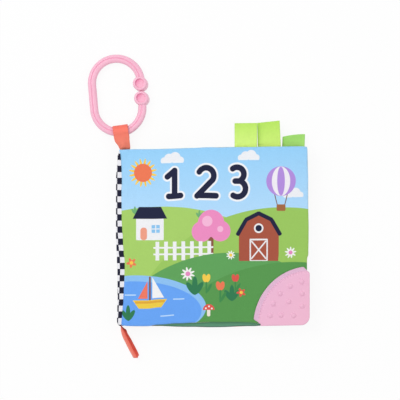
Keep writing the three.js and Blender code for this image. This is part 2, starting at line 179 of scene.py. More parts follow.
class Print:
    def __init__(self, spot, ground):
        self.spot = spot
        self.ground = ink(ground)
        self.start, self.unit = (0.0, 0.0), 1.0

    def at(self, place):
        return [start + way * self.unit for start, way in zip(self.start, place)]

    def fill(self, distance, reach, code):
        middle = 0.5 + reach * self.unit / edgeSoftness
        mask = distance.maths("MULTIPLY_ADD", -1 / edgeSoftness, middle, clamp=True)
        self.ground = mask.blend(self.ground, ink(code))

    def gap(self, place):
        return self.spot.vector("DISTANCE", (*self.at(place), 0.0), output=1)

    def boxGap(self, place, half, turn=0.0):
        corner = (half[0] * self.unit, half[1] * self.unit, 0.0)
        near = self.spot.local(self.at(place), turn).vector("ABSOLUTE").vector("SUBTRACT", corner)
        return near.vector("MAXIMUM", (0.0, 0.0, 0.0)).vector("LENGTH", output=1)

    def arcGap(self, place, radius, turn):
        # half a ring that faces turn, with rounded ends
        near = self.spot.local(self.at(place), turn)
        isFront = near.part(0).maths("GREATER_THAN", 0.0)
        ring = abs(near.vector("LENGTH", output=1) - radius * self.unit)
        ends = near.vector("ABSOLUTE").vector("DISTANCE", (0.0, radius * self.unit, 0.0), output=1)
        return ring * isFront + ends * (1 - isFront)

    def fade(self, low, high, code):
        share = self.spot.part(1).maths("MULTIPLY_ADD", 1 / (high - low), -low / (high - low), clamp=True)
        self.ground = share.blend(self.ground, ink(code))

    def disc(self, place, radius, code):
        self.fill(self.gap(place), radius, code)

    def discs(self, rounds, code):
        for u, v, radius in rounds:
            self.disc((u, v), radius, code)

    def oval(self, place, size, turn, code):
        wide, tall = (s * self.unit for s in size)
        near = self.spot.local(self.at(place), turn, (wide, tall)).vector("LENGTH", output=1)
        self.fill(near * min(wide, tall), min(size), code)

    def bar(self, place, half, turn, rounding, code):
        inner = [max(0.0, h - rounding) for h in half]
        self.fill(self.boxGap(place, inner, turn), rounding, code)

    def wedge(self, points, code):
        corners, sides = [self.at(p) for p in points], []
        for (au, av), (bu, bv) in zip(corners, corners[1:] + corners[:1]):
            length = hypot(bu - au, bv - av)
            out = ((bv - av) / length, (au - bu) / length, 0.0)
            sides.append(self.spot.vector("DOT_PRODUCT", out, output=1) - (au * out[0] + av * out[1]))
        self.fill(combined(sides, "MAXIMUM"), 0.0, code)

    def dome(self, rounds, low, code):
        # rounds that run together, cut off flat below
        found = combined([self.gap((u, v)) - radius * self.unit for u, v, radius in rounds])
        self.fill(found.maths("MAXIMUM", self.at((0, low))[1] - self.spot.part(1)), 0.0, code)

    def flower(self, place, size, petals, code, heart):
        wide = size * self.unit
        near = self.spot.local(self.at(place), 10 * wide)
        reach = near.vector("LENGTH", output=1)
        turn = near.part(1).maths("ARCTAN2", near.part(0)) * petals
        self.fill(reach - turn.maths("COSINE") * (0.24 * wide), 0.74 * size, code)
        self.fill(reach, 0.34 * size, heart)

    def daisy(self, place, size, code="F4F6F2", heart="E58BC0"):
        self.flower(place, size, 9, code, heart)

    def star(self, place, size, code="F7D65A"):
        self.flower(place, size, 5, code, code)

    def ripple(self, place, size):
        self.bar(place, (size, 0.5), 0, 0.5, "BFE0FF")

    def fence(self, place, half, spacing, code="F2F3F5", picket=1.6):
        (u, v), (halfU, halfV) = place, half
        for shift in (0.35, -0.35):
            self.bar((u, v + shift * halfV), (halfU, 0.09 * halfV), 0, 0.4, code)
        across = self.spot.part(0).maths("MULTIPLY_ADD", 1 / spacing, 0.5 - u / spacing)
        wide = abs(self.spot.part(0) - u) - halfU
        tall = abs(self.spot.part(1) - v) - (halfV - picket)
        self.fill(combined([abs(across.maths("FRACT") - 0.5) * spacing, wide, tall], "MAXIMUM"), picket, code)

    @motif
    def sun(self):
        self.flower((0, 0), 1.25, 16, "F9CF4E", "F9CF4E")
        self.disc((0, 0), 0.78, "F07A55")

    @motif
    def cloud(self):
        self.dome([(-0.95, 0, 0.42), (-0.35, 0.25, 0.6), (0.4, 0.35, 0.68), (1.05, 0, 0.46)], -0.3, "F1F3F8")

    @motif
    def tree(self, code, light):
        self.bar((0, -1.1), (0.14, 0.7), 0, 0.08, "8A5540")
        self.discs([(-0.5, -0.12, 0.55), (0.5, -0.1, 0.55), (0, 0.3, 0.72)], code)
        self.discs([(-0.2, 0.42, 0.28), (0.5, 0, 0.16)], light)

    @motif
    def tuft(self, code="2E7A50"):
        for turn, height in ((34, 0.8), (0, 1.0), (-34, 0.8)):
            lean, half = radians(turn), height / 2
            self.oval((-sin(lean) * half, cos(lean) * half), (0.16, 0.55 * height), turn, code)

    @motif
    def tulip(self, code):
        self.bar((0, -1.2), (0.12, 1.1), 0, 0.1, "3F8A4C")
        self.oval((0.42, -1.5), (0.2, 0.75), -28, "3F8A4C")
        for side in (-1, 1):
            self.oval((side * 0.24, 0), (0.32, 0.62), side * -12, code)

    @motif
    def mushroom(self):
        self.bar((0, -0.5), (0.24, 0.55), 0, 0.2, "F3EBDD")
        self.dome([(0, -0.1, 0.85)], -0.1, "E2574C")
        self.discs([(-0.4, 0.15, 0.13), (0.05, 0.42, 0.13), (0.45, 0.1, 0.13)], "F8F4EC")

    @motif
    def house(self, wall, roof, door):
        self.bar((0, 0), (1, 0.8), 0, 0.04, wall)
        self.wedge([(-1.25, 0.72), (1.25, 0.72), (0.8, 1.57), (-0.8, 1.57)], roof)
        self.bar((-0.45, -0.35), (0.24, 0.45), 0, 0.22, door)
        self.bar((0.42, 0), (0.3, 0.28), 0, 0.06, "8CC7F2")
        for half in ((0.3, 0.035), (0.035, 0.28)):
            self.bar((0.42, 0), half, 0, 0.03, wall)

    @motif
    def barn(self, wall="A9543F", trim="F0EEF0", roof="151A3A"):
        self.wedge([(-1, -1), (1, -1), (1, 0.35), (0.62, 1), (0, 1.3), (-0.62, 1), (-1, 0.35)], wall)
        for side in (1, -1):
            self.bar((side * 0.86, 0.66), (0.46, 0.1), -side * 60, 0.08, roof)
            self.bar((side * 0.32, 1.2), (0.42, 0.1), -side * 26, 0.08, roof)
        self.bar((0, -0.45), (0.46, 0.55), 0, 0.04, trim)
        self.bar((0, -0.47), (0.39, 0.49), 0, 0.03, wall)
        for turn in (50, -50):
            self.bar((0, -0.45), (0.58, 0.035), turn, 0.03, trim)
        self.disc((0, 0.62), 0.24, trim)
        self.disc((0, 0.62), 0.16, roof)

    @motif
    def boat(self):
        self.bar((0, 0.75), (0.06, 0.9), 0, 0.05, "8A5540")
        self.wedge([(0.16, 0.22), (0.95, 0.22), (0.16, 1.6)], "F5F5F7")
        self.wedge([(-0.8, 0.22), (-0.16, 0.22), (-0.16, 1.35)], "F27A63")
        self.wedge([(-0.75, -0.42), (0.75, -0.42), (1.15, 0.12), (-1.15, 0.12)], "F2CF45")
        self.bar((0, -0.02), (1, 0.07), 0, 0.05, "E3A93A")

    @motif
    def balloon(self, code="B58FE0"):
        for side in (1, -1):
            self.bar((side * 0.34, -1.25), (0.03, 0.45), -side * 14, 0.02, "7A5240")
        self.disc((0, 0), 1, code)
        self.oval((0, 0), (0.62, 0.99), 0, "F3F0F7")
        self.oval((0, 0), (0.26, 0.98), 0, code)
        self.bar((0, -1.78), (0.3, 0.22), 0, 0.08, "A5683F")

    @motif
    def counting(self):
        one = [self.boxGap((-1.62, 0), (0, 0.62)), self.boxGap((-1.82, 0.45), (0.22, 0), 40),
               self.boxGap((-1.62, -0.66), (0.3, 0), 3)]
        two = [self.arcGap((-0.02, 0.3), 0.4, 58), self.boxGap((-0.08, -0.3), (0.55, 0), 44),
               self.boxGap((0.03, -0.68), (0.46, 0), -3)]
        three = [self.arcGap((1.55, 0.36), 0.35, 38), self.arcGap((1.58, -0.36), 0.4, -34),
                 self.boxGap((1.58, 0.02), (0.12, 0))]
        found = combined(one + two + three)
        self.fill(found, 0.24, "F6F7FB")
        self.fill(found, 0.145, "151A3A")

    @motif
    def rainbow(self):
        reach = self.gap((0, 0)).maths("MAXIMUM", (self.start[1] - self.spot.part(1)) * 40)
        for share, code in ((1.0, "F0706A"), (0.86, "F6A456"), (0.72, "F7DC5C"), (0.58, "7FC76B"), (0.44, "6FB4EE")):
            self.fill(reach, share, code)

    @motif
    def fruit(self, code):
        self.discs([(-0.3, 0, 0.72), (0.3, 0, 0.72)], code)
        self.bar((0, 0.85), (0.07, 0.3), -12, 0.06, "7A4A32")
        self.oval((0.42, 0.98), (0.38, 0.17), 24, "4E9B50")


pictures = {
    "cover_print": ("98D3FC", [
        ("fade", 152, 96, "B4DEFF"),
        ("sun", (21, 131), 10),
        ("cloud", (46, 141), 7), ("cloud", (112, 142), 6.5), ("cloud", (150, 110), 6),
        ("disc", (36, -64), 166, "A9D26A"), ("disc", (140, -40), 140, "9CC960"),
        ("tuft", (14, 96), 6, "6FB073"), ("tuft", (70, 92), 6, "6FB073"), ("tuft", (118, 84), 6, "6FB073"),
        ("balloon", (140, 122), 12.5),
        ("house", (27, 83), 12, "F2F3F7", "151A3A", "F2A088"),
        ("tree", (80, 82), 16, "F08FC4", "F9BBDC"),
        ("fence", (56, 64), (26, 8), 7.5),
        ("disc", (96, -66), 128, "5FA35A"), ("disc", (150, -88), 142, "57994F"),
        ("barn", (121, 72), 17),
        ("oval", (24, 18), (52, 25), -6, "8FC4F5"), ("oval", (22, 15), (50, 23), -6, "68A6F8"),
        ("ripple", (10, 27), 5), ("ripple", (52, 22), 5), ("ripple", (42, 8), 6),
        ("boat", (27, 21), 13),
        ("tuft", (66, 26), 15), ("tuft", (98, 20), 13), ("tuft", (8, 6), 12),
        ("tulip", (88, 33), 6.5, "F07A55"), ("tulip", (76, 40), 6, "F9CF4E"), ("tulip", (101, 40), 5.5, "E0574C"),
        ("daisy", (60, 44), 6.2), ("daisy", (148, 62), 5), ("daisy", (97, 60), 4, "F4F6F2", "F9CF4E"),
        ("flower", (11, 54), 4.5, 5, "F07A55", "F9CF4E"), ("flower", (106, 27), 4.2, 5, "E0574C", "F9CF4E"),
        ("mushroom", (78, 12), 6),
        ("counting", (76, 122), 17),
    ]),
    "page_print_a": ("2E6A5A", [
        ("fade", 40, 152, "4FA06E"), ("disc", (60, -70), 120, "3F8A5A"), ("fade", 6.5, 5.0, "609A7B"),
        # the fade to 24564A over the lowest 1.5 mm is painted shade along the seam at the leaf's foot
        ("fade", 1.5, 0.9, "24564A"), ("flower", (44, 88), 17, 12, "F4C23F", "8A5540"),
        ("flower", (110, 98), 14, 12, "F4C23F", "8A5540"), ("tulip", (78, 70), 12, "F08FC4"),
        ("tulip", (132, 62), 10, "E0574C"), ("tuft", (22, 52), 13, "9CC960"), ("tuft", (100, 56), 12, "9CC960"),
        ("mushroom", (60, 40), 12),
    ]),
    "page_print_b": ("FBEFC6", [
        ("rainbow", (82, 58), 62), ("disc", (82, 58), 18.5, "FBEFC6"), ("cloud", (26, 54), 15),
        ("cloud", (138, 54), 15), ("star", (30, 126), 8), ("star", (134, 126), 8), ("star", (82, 26), 9, "F08FC4"),
        ("star", (48, 20), 6, "6FB4EE"), ("star", (118, 20), 6, "7FC76B"),
    ]),
    "page_print_c": ("A4D8FF", [
        ("fade", 30, 150, "6FB4EE"), ("cloud", (34, 120), 12), ("cloud", (126, 104), 13),
        ("disc", (70, -130), 168, "9CC960"), ("balloon", (82, 92), 26), ("sun", (136, 132), 10),
        ("tree", (28, 50), 13, "5FA35A", "86C06A"),
    ]),
    "page_print_d": ("FBD9BF", [
        ("fruit", (44, 104), 21, "E0574C"), ("fruit", (118, 104), 21, "F6A456"), ("fruit", (44, 44), 21, "8CC255"),
        ("fruit", (118, 44), 21, "9A6BC9"),
    ]),
    "page_print_e": ("BFE6CF", [
        ("fade", 150, 60, "E4F5E4"), ("cloud", (40, 126), 11), ("oval", (86, 30), (100, 42), 0, "6FB4EE"),
        ("ripple", (40, 40), 12), ("ripple", (120, 30), 12), ("ripple", (80, 16), 12), ("boat", (84, 60), 32),
    ]),
    "page_print_f": ("3E5FA8", [
        ("fade", 20, 150, "26356F"), ("disc", (114, 108), 19, "F7E6A0"), ("disc", (105, 113), 17, "2E4382"),
        ("star", (36, 118), 8), ("star", (62, 92), 5), ("star", (30, 76), 6), ("disc", (70, -90), 138, "3F7F6A"),
        ("house", (104, 55), 15, "F2E2C4", "8A4A3C", "6FB4EE"), ("tree", (48, 56), 14, "2E6A5A", "4FA06E"),
    ]),
    "page_print_g": ("FFE2CE", [
        ("fade", 150, 70, "FFF2E0"), ("disc", (82, -90), 150, "A9D26A"), ("barn", (58, 78), 28),
        ("fence", (122, 58), (30, 10), 9), ("tulip", (108, 44), 8, "F08FC4"), ("tulip", (128, 40), 8, "F07A55"),
        ("daisy", (146, 44), 8),
    ]),
    "page_print_h": ("DCCBF2", [
        ("daisy", (36, 112), 16), ("flower", (84, 120), 13, 6, "F08FC4", "F9CF4E"), ("daisy", (130, 104), 16),
        ("flower", (54, 62), 15, 6, "F07A55", "F9CF4E"), ("daisy", (104, 56), 17),
        ("flower", (30, 26), 11, 5, "6FB4EE", "FBEFC6"), ("flower", (140, 34), 13, 5, "7FC76B", "FBEFC6"),
        ("flower", (82, 22), 10, 5, "9A6BC9", "FBEFC6"),
    ]),
    "back_print": ("8CC96A", [
        ("fade", 150, 20, "6DB05C"), ("disc", (82, 76), 44, "F4F6F2"), ("disc", (82, 76), 40, "A4D8FF"),
        ("cloud", (74, 92), 9), ("disc", (82, 28), 24, "9CC960"), ("flower", (82, 68), 16, 10, "F4C23F", "8A5540"),
        ("daisy", (24, 124), 9), ("daisy", (140, 124), 9), ("daisy", (24, 28), 9), ("daisy", (140, 28), 9),
    ]),
}

clothBuild = {
    "panel": (164.0, 152.0), "threads": 17.0, "relief": 0.02, "mottle": (900.0, 3.0), "mottleDepth": 0.1,
    "fluff": (2600.0, 1.0), "fluffDepth": 1.5,
}


def woven(base, spot, place, fluffDepth=0.0):
    # fine threads both ways under a faintly uneven colour
    b = clothBuild
    mottle = place.noise(*b["mottle"]).maths("MULTIPLY_ADD", b["mottleDepth"], 1 - b["mottleDepth"] / 2)
    weave = (spot.part(0) * b["threads"]).maths("SINE") * (spot.part(1) * b["threads"]).maths("SINE")
    if fluffDepth:
        weave = weave + place.noise(*b["fluff"]) * fluffDepth
    return {"Base Color": base.scaled(mottle), "Bump": (weave, b["relief"] * mm)}


def clothFinish(slot, isBack):
    ground, motifs = pictures[slot]
    wide, tall = clothBuild["panel"]

    def look(uv, place):
        spot = uv.vector("MULTIPLY_ADD", (-wide if isBack else wide, tall, 1.0), (wide if isBack else 0.0, 0.0, 0.0))
        page = Print(spot, ground)
        for kind, *facts in motifs:
            getattr(page, kind)(*facts)
        return woven(page.ground, spot, place, clothBuild["fluffDepth"])

    return finish(slot, look, Roughness=0.78, Specular_IOR_Level=0.25, Sheen_Weight=0.12, Sheen_Roughness=0.5)


# Making pieces
def drift(*place):
    return noise.noise(Vector(place))


def vertsOf(geom):
    return [g for g in geom if isinstance(g, bmesh.types.BMVert)]


def edgesOf(geom):
    return [g for g in geom if isinstance(g, bmesh.types.BMEdge)]


def meshFrom(bm, name):
    mesh = bpy.data.meshes.new(name)
    bm.to_mesh(mesh)
    bm.free()
    return mesh


def newObject(name, data):
    made = bpy.data.objects.new(name, data)
    bpy.context.scene.collection.objects.link(made)
    return made


def addPiece(name, bm, look, body=None, replaced=(), thickness=0.0, offset=-1.0):
    mesh = meshFrom(bm, name)
    mesh.materials.append(look)
    mesh.shade_smooth()
    made = newObject(name, mesh)
    if thickness:
        wall = made.modifiers.new("Cloth thickness", "SOLIDIFY")
        wall.thickness = thickness * mm
        wall.offset = offset
    if replaced:
        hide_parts(*replaced)
    if body:
        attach(made, body)
    return made


def clothGrid(across, along, place):
    bm = bmesh.new()
    bm.loops.layers.uv.new("UVMap")
    bmesh.ops.create_grid(bm, x_segments=across, y_segments=along, size=1, calc_uvs=True)
    for vert in bm.verts:
        vert.co = Vector(place(vert.co.x, vert.co.y)) * mm
    return bm


# Leaves
leafBuild = {
    "halfWidth": 82.0, "halfHeight": 76.0, "pitch": 4.2, "half": 1.95, "puffHalf": 1.89, "sewnHalf": 1.2,
    "panelLeft": -80.4, "roll": 1.25, "rollShare": 0.974, "seamGap": 0.07, "clothThickness": 0.28,
    "seam": 4.6, "crownPower": 4, "coverCrown": 2.5, "coverOverhang": 0.35,
    "cells": (100, 92), "coverCells": (190, 176),
    "cornerPower": 14, "cornerDraw": 1.0, "pocketDraw": 3.0, "spineDraw": {"head": -0.4, "foot": -2.6},
    "pucker": 0.2, "puckerLength": 7.5, "puckerReach": 6.0, "innerPucker": 0.4, "backWrinkle": 0.1,
    "creases": [(-71.5, 0.8, 1.6), (-66.0, 0.4, 2.4)], "creaseWander": 1.6, "waver": 0.3,
    "headRise": [(-82, -0.3), (-74, -0.6), (-53, -0.7), (-36, -0.25), (-19, 0.4), (2, 1.05), (18, 1.2), (60, 1.5),
                 (82, 2.2)],
    "foreDraw": [(-76, 0.0), (-40, -0.85), (-19, -0.85), (-15, 0.35), (0, 0.45), (30, 0.1), (76, -0.15)],
    "sway": 0.5, "swayLength": 44.0,
    "teetherPlace": (83.8, -77.8), "teetherRadius": 50.0, "teetherClear": 6.0, "teetherRamp": 34.0,
    "padHalf": (74.5, 69.0), "padCells": 30, "padRoom": 0.45, "padDrop": 0.5, "filmGap": 0.3, "filmThickness": 0.2,
}
leaves = [
    {"name": "back_cover", "front": "page_print_g", "back": "back_print", "seed": 3.1, "wrinkle": 0.1,
     "foot": [(-82, -0.9), (-50, -0.6), (40, 0.0), (80, 1.6)]},
    {"name": "page_3", "front": "page_print_e", "back": "page_print_h", "seed": 7.7, "wrinkle": 0.1,
     "foot": [(-70, -0.9), (10, -0.7), (40, 0.0), (80, 1.6)]},
    {"name": "page_2", "front": "page_print_c", "back": "page_print_f", "seed": 12.9, "wrinkle": 0.1,
     "foot": [(-70, -0.9), (-10, -1.2), (40, -0.3), (80, 1.6)]},
    {"name": "page_1", "front": "page_print_a", "back": "page_print_d", "seed": 21.3, "wrinkle": 0.12,
     "foot": [(-70, -1.1), (-45, -0.9), (-30, -1.5), (5, -2.1), (35, -1.1), (45, -0.5), (80, 1.6)]},
    {"name": "front_cover", "front": "cover_print", "back": "page_print_b", "seed": 30.5, "wrinkle": 0.55,
     "foot": [(-76, -1.1), (-56, -1.0), (-45, 0.5), (-31, 1.4), (-17, 2.1), (2, 2.7), (19, 2.7), (32, 2.3), (39, 1.6),
              (60, 1.4), (82, 2.2)]},
]


def leafMiddle(index):
    return index * leafBuild["pitch"] + leafBuild["half"]


def rolled(share, low, high, isRolledLow=True):
    # a place across the panel, and how far it still stands out before the edge turns under
    b = leafBuild
    middle = (low + high) / 2
    if share < 0 and not isRolledLow:
        return mixed(middle, low, -share), 1.0
    half = (high - low) / 2 - b["roll"]
    if abs(share) <= b["rollShare"]:
        return middle + share / b["rollShare"] * half, 1.0
    turn = (abs(share) - b["rollShare"]) / (1 - b["rollShare"]) * pi / 2
    return middle + copysign(half + b["roll"] * sin(turn), share), cos(turn)


def teetherAway(x, y):
    b = leafBuild
    return hypot(x - b["teetherPlace"][0], y - b["teetherPlace"][1]) - b["teetherRadius"]


def puffAt(x, y, full):
    b = leafBuild
    u = min(1.0, abs(x) / (b["halfWidth"] - b["seam"]))
    v = min(1.0, abs(y) / (b["halfHeight"] - b["seam"]))
    crown = (1 - u ** b["crownPower"]) * (1 - v ** b["crownPower"])
    free = eased((teetherAway(x, y) - b["teetherClear"]) / b["teetherRamp"])
    return b["sewnHalf"] + (full - b["sewnHalf"]) * crown * free


def swayAt(x, y, index):
    # all leaves lie in the same soft waves, flat on the floor and under the teether
    b = leafBuild
    wave = drift(x / b["swayLength"], y / b["swayLength"], 5.5)
    return b["sway"] * index / 4 * wave * eased(teetherAway(x, y) / 25) * eased((x + b["halfWidth"]) / 30)


def leafFace(leaf, index, side, cells):
    b = leafBuild
    isTopLeaf = leaf["name"] == "front_cover"
    isCoverFace = isTopLeaf and side > 0
    full = b["coverCrown"] if isCoverFace else b["puffHalf"]
    strength = leaf["wrinkle"] if side > 0 else b["backWrinkle"]
    puckerDepth = b["pucker"] * (1.0 if isCoverFace else b["innerPucker"])
    overhang = b["coverOverhang"] if isTopLeaf else 0.0
    seed = leaf["seed"] + (0 if side > 0 else 50)

    def heightAt(x, y):
        toFore, toEnd = b["halfWidth"] - x, b["halfHeight"] - abs(y)
        edge = max(0.0, min(toFore, toEnd, x - b["panelLeft"] + 3))
        along = y if toFore < toEnd else x
        wave = sin(2 * pi * along / b["puckerLength"] + 4 * drift(along / 17, seed, 0.0))
        pucker = puckerDepth * exp(-edge / b["puckerReach"]) * wave
        wrinkles = strength * (0.75 * drift(x / 30, y / 30, seed) + 0.3 * drift(x / 9, y / 11, seed + 9))
        height = puffAt(x, y, full) + eased(teetherAway(x, y) / 10) * (pucker + wrinkles)
        if isCoverFace:
            wander = b["creaseWander"] * drift(0.0, y / 22, seed)
            for crease, depth, width in b["creases"]:
                height -= depth * exp(-((x - crease - wander) / width) ** 2) * (0.55 + drift(7, y / 14, crease))
        return height

    def place(s, t):
        x, riseX = rolled(s, b["panelLeft"], b["halfWidth"], False)
        y, riseY = rolled(t, -b["halfHeight"], b["halfHeight"])
        height = b["half"] if side < 0 and index == 0 else heightAt(x, y)
        y += fromTable(b["headRise"], x) * eased((t + 1) / 2) + fromTable(leaf["foot"], x) * eased((-t - 0.2) / 0.8)
        outward = b["waver"] * drift(seed, y / 13, 3.0) + fromTable(b["foreDraw"], y) + overhang
        x += outward * eased((s - 0.5) / 0.5)
        y += b["waver"] * drift(x / 15, seed, 8.0) * eased((abs(t) - 0.5) / 0.5)
        draw = b["pocketDraw"] if isTopLeaf and s > 0 > t else b["cornerDraw"]
        draw *= abs(s) ** b["cornerPower"] * abs(t) ** b["cornerPower"]
        x -= draw * (1 if s > 0 else b["spineDraw"]["head" if t > 0 else "foot"])
        y -= copysign(draw, t)
        z = b["seamGap"] + (height - b["seamGap"]) * riseX * riseY
        return x, y, leafMiddle(index) + side * z + swayAt(x, y, index)

    bm = clothGrid(*cells, place)
    if side < 0:
        bmesh.ops.reverse_faces(bm, faces=bm.faces[:])
    return bm


def innerPad(index, highAt, lowAt):
    # closed pad that follows the leaf's puff, between two heights
    b = leafBuild
    bm = clothGrid(b["padCells"], b["padCells"], lambda s, t: (s * b["padHalf"][0], t * b["padHalf"][1], 0.0))
    grown = bmesh.ops.extrude_face_region(bm, geom=bm.faces[:], use_keep_orig=True)
    upper = set(vertsOf(grown["geom"]))
    for vert in bm.verts:
        x, y = vert.co.x / mm, vert.co.y / mm
        room = puffAt(x, y, b["puffHalf"]) - b["padRoom"] - b["filmGap"]
        vert.co.z = (leafMiddle(index) + swayAt(x, y, index) + (highAt if vert in upper else lowAt)(room)) * mm
    bmesh.ops.recalc_face_normals(bm, faces=bm.faces[:])
    return bm


def fluffLook(uv, place):
    tangle = place.noise(700.0, 6.0)
    return {"Base Color": tangle.blend(ink("E9E9E4"), ink("FAFAF7")), "Bump": (tangle, 0.3 * mm)}


def filmLook(uv, place):
    crackle = place.node("ShaderNodeTexVoronoi", {}, {"Vector": place, "Scale": 160.0})
    return {"Roughness": crackle * 0.3, "Bump": (crackle, 0.15 * mm)}


fluff = finish("wadding", fluffLook, Roughness=1.0)
film = finish("crinkle_film", filmLook, Base_Color=ink("E8EDF2"), Transmission_Weight=0.7, IOR=1.45)

b = leafBuild
for index, leaf in enumerate(leaves):
    name = leaf["name"]
    for side, part, slot in ((1, "front_cloth", leaf["front"]), (-1, "back_cloth", leaf["back"])):
        cells = b["coverCells"] if slot == "cover_print" else b["cells"]
        cloth = addPiece(f"{name}_{part}_sewn", leafFace(leaf, index, side, cells), clothFinish(slot, side < 0),
                         name, [f"{name}_{part}"], b["clothThickness"])
    layer = innerPad(index, lambda room: room - b["padDrop"], lambda room: -room)
    pad = addPiece(f"{name}_wadding_pad", layer, fluff, name, [f"{name}_wadding"])
    layer = innerPad(index, lambda room: room, lambda room: room - b["filmThickness"])
    foil = addPiece(f"{name}_film_layer", layer, film, name, [f"{name}_crinkle_film"])
print("leaves sewn")


# Checkered spine
spineBuild = {
    "half": 75.6, "check": 5.15, "columnEdge": 1.72, "rowPitch": 5.22, "rowEdge": 71.4, "inkSpread": 0.03,
    "fold": 1.88, "low": -4.95, "high": 6.0, "topEnd": 5.7, "sink": 0.5, "sinkRamp": 2.6, "clothThickness": 0.3,
    "endSquash": 0.62, "footReach": 1.0, "footRamp": 0.12, "waver": 0.25, "ripple": 0.12, "cells": (26, 150),
    "nose": [-81.0, -81.45, -81.6, -81.9, -82.45], "follow": [0.2, 0.4, 0.5, 0.6, 1.0], "footFollow": 0.6,
    "ends": [(-76.2, 3.2), (-74.8, 1.4), (-72.4, 0.5), (-68, 0.55), (-61, 0.65), (-51, 1.2), (-40, 0.85), (-30, 0.7),
             (-19, 0.4), (-9, 0.0), (1, -0.35), (12, -0.5), (22, -0.55), (32, -0.35), (50, -0.35), (58, 0.1),
             (63, 0.6), (69, 1.3), (73, 1.5), (76, 2.0)],
    "seam": [(-76, -81.3), (-72, -81.0), (-61, -80.5), (-51, -80.0), (-40, -79.6), (-27, -79.3), (-19, -79.5),
             (-14, -80.25), (-4, -80.95), (6, -81.45), (17, -81.67), (48, -81.75), (58, -81.6), (61, -81.7),
             (64, -82.4)],
    "edge": [(-76, -78.3), (-72, -78.05), (-67, -77.65), (-61, -77.1), (-56, -76.6), (-46, -76.2), (-40, -75.8),
             (-30, -75.5), (-25, -75.3), (-19, -75.5), (-14, -76.2), (-4, -76.9), (1, -77.0), (6, -77.6),
             (17, -77.95), (38, -78.2), (48, -77.85), (58, -78.05), (63, -78.3), (69, -78.8), (73, -79.5),
             (76, -79.9)],
}


def checksFinish(name, width, low):
    def look(uv, place):
        b = spineBuild
        spot = uv.vector("MULTIPLY_ADD", (width, 2 * b["half"], 1.0), (low, -b["half"] - b["rowEdge"], 0.0))
        across, along = spot.part(0) / b["check"], spot.part(1) / b["rowPitch"]
        parity = (across.maths("FLOOR") + along.maths("FLOOR")).maths("FLOORED_MODULO", 2.0)
        rim = across.maths("PINGPONG", 0.5).maths("MINIMUM", along.maths("PINGPONG", 0.5))
        isDark = parity.maths("MAXIMUM", rim.maths("LESS_THAN", b["inkSpread"]))
        return woven(isDark.blend(ink("EFEFF5"), ink("15172F")), spot, place)

    return finish(name, look, Roughness=0.8, Specular_IOR_Level=0.25)


def bindingGrid(index, isTop, seed):
    b = spineBuild
    quarter = b["fold"] * pi / 2

    def lengthTo(x):
        # tape between the fold's foremost line and a point of its upper side
        x = max(0.0, x)
        return b["fold"] * acos(1 - x / b["fold"]) if x < b["fold"] else quarter + x - b["fold"]

    def place(s, t):
        y = b["half"] * t
        follow = 1.0 if isTop else mixed(b["footFollow"], b["follow"][index], eased((y + 74) / 6))
        nose = b["nose"][index] + fromTable(b["ends"], y) * follow + b["waver"] * drift(seed, y / 9, 0.0)
        seam = lengthTo(fromTable(b["seam"], y) - nose) if isTop else b["columnEdge"]
        end = lengthTo(fromTable(b["edge"], y) - nose) if isTop else b["topEnd"]
        q = mixed(b["low"], b["high"], (s + 1) / 2)
        if q > b["columnEdge"]:
            q = mixed(seam, end, (q - b["columnEdge"]) / (b["high"] - b["columnEdge"]))
        else:
            q = mixed(b["low"], seam, (q - b["low"]) / (b["columnEdge"] - b["low"]))
        turn = max(-quarter, min(quarter, q)) / b["fold"]
        flat = max(0.0, abs(q) - quarter)
        x = nose + b["fold"] * (1 - cos(turn)) + flat
        z = b["fold"] * sin(turn) - copysign(b["sink"] * eased(flat / b["sinkRamp"]), q)
        y = min(y, b["rowEdge"]) + max(0.0, y - b["rowEdge"]) * b["endSquash"]
        y -= b["footReach"] * eased((b["footRamp"] - 1 - t) / b["footRamp"])
        return x, y, leafMiddle(index) + z + b["ripple"] * drift(seed, y / 6, q / 4)

    return clothGrid(*b["cells"], place)


b = spineBuild
checks = checksFinish("checkered_cloth", b["high"] - b["low"], b["low"] - b["columnEdge"])
for index, leaf in enumerate(leaves):
    name = leaf["name"]
    tape = addPiece(f"{name}_checkered_binding", bindingGrid(index, name == "front_cover", leaf["seed"]), checks,
                    name, [f"{name}_spine_binding"], b["clothThickness"])


# Cloth gussets at the spine, folded flat between two leaves.
gussetBuild = {"fold": -81.6, "sewn": -76.5, "half": 70.0, "halfGap": 0.13, "thickness": 0.1, "checksWide": 38.6}


def gapMiddle(index):
    return leafMiddle(index) + leafBuild["pitch"] / 2


def gussetGrid(index):
    def place(s, t):
        b = gussetBuild
        x = b["sewn"] if abs(s) > 0.5 else b["fold"]
        return x, b["half"] * t, gapMiddle(index) + copysign(b["halfGap"], s)

    return clothGrid(3, 40, place)


b = gussetBuild
gussetChecks = checksFinish("checkered_gusset", b["checksWide"], 0.0)
for index, (lower, upper) in enumerate(zip(leaves, leaves[1:])):
    gusset = addPiece(f"{lower['name']}_spine_gusset", gussetGrid(index), gussetChecks,
                      thickness=b["thickness"], offset=0.0)
    z = gapMiddle(index) * mm
    z + 0.05 * mm
    z - 0.05 * mm
    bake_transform(gusset)
print("spine bound")


# Ribbons
satinBuild = {
    "ribs": 9.0, "ribDepth": 0.4, "threads": 26.0, "threadDepth": 0.3, "relief": 0.014,
    "mottle": (500.0, 3.0), "mottleDepth": 0.12, "edge": 0.03, "edgeDepth": 0.5,
}
satin = {"Roughness": 0.6, "Sheen_Weight": 0.2, "Sheen_Roughness": 0.4}


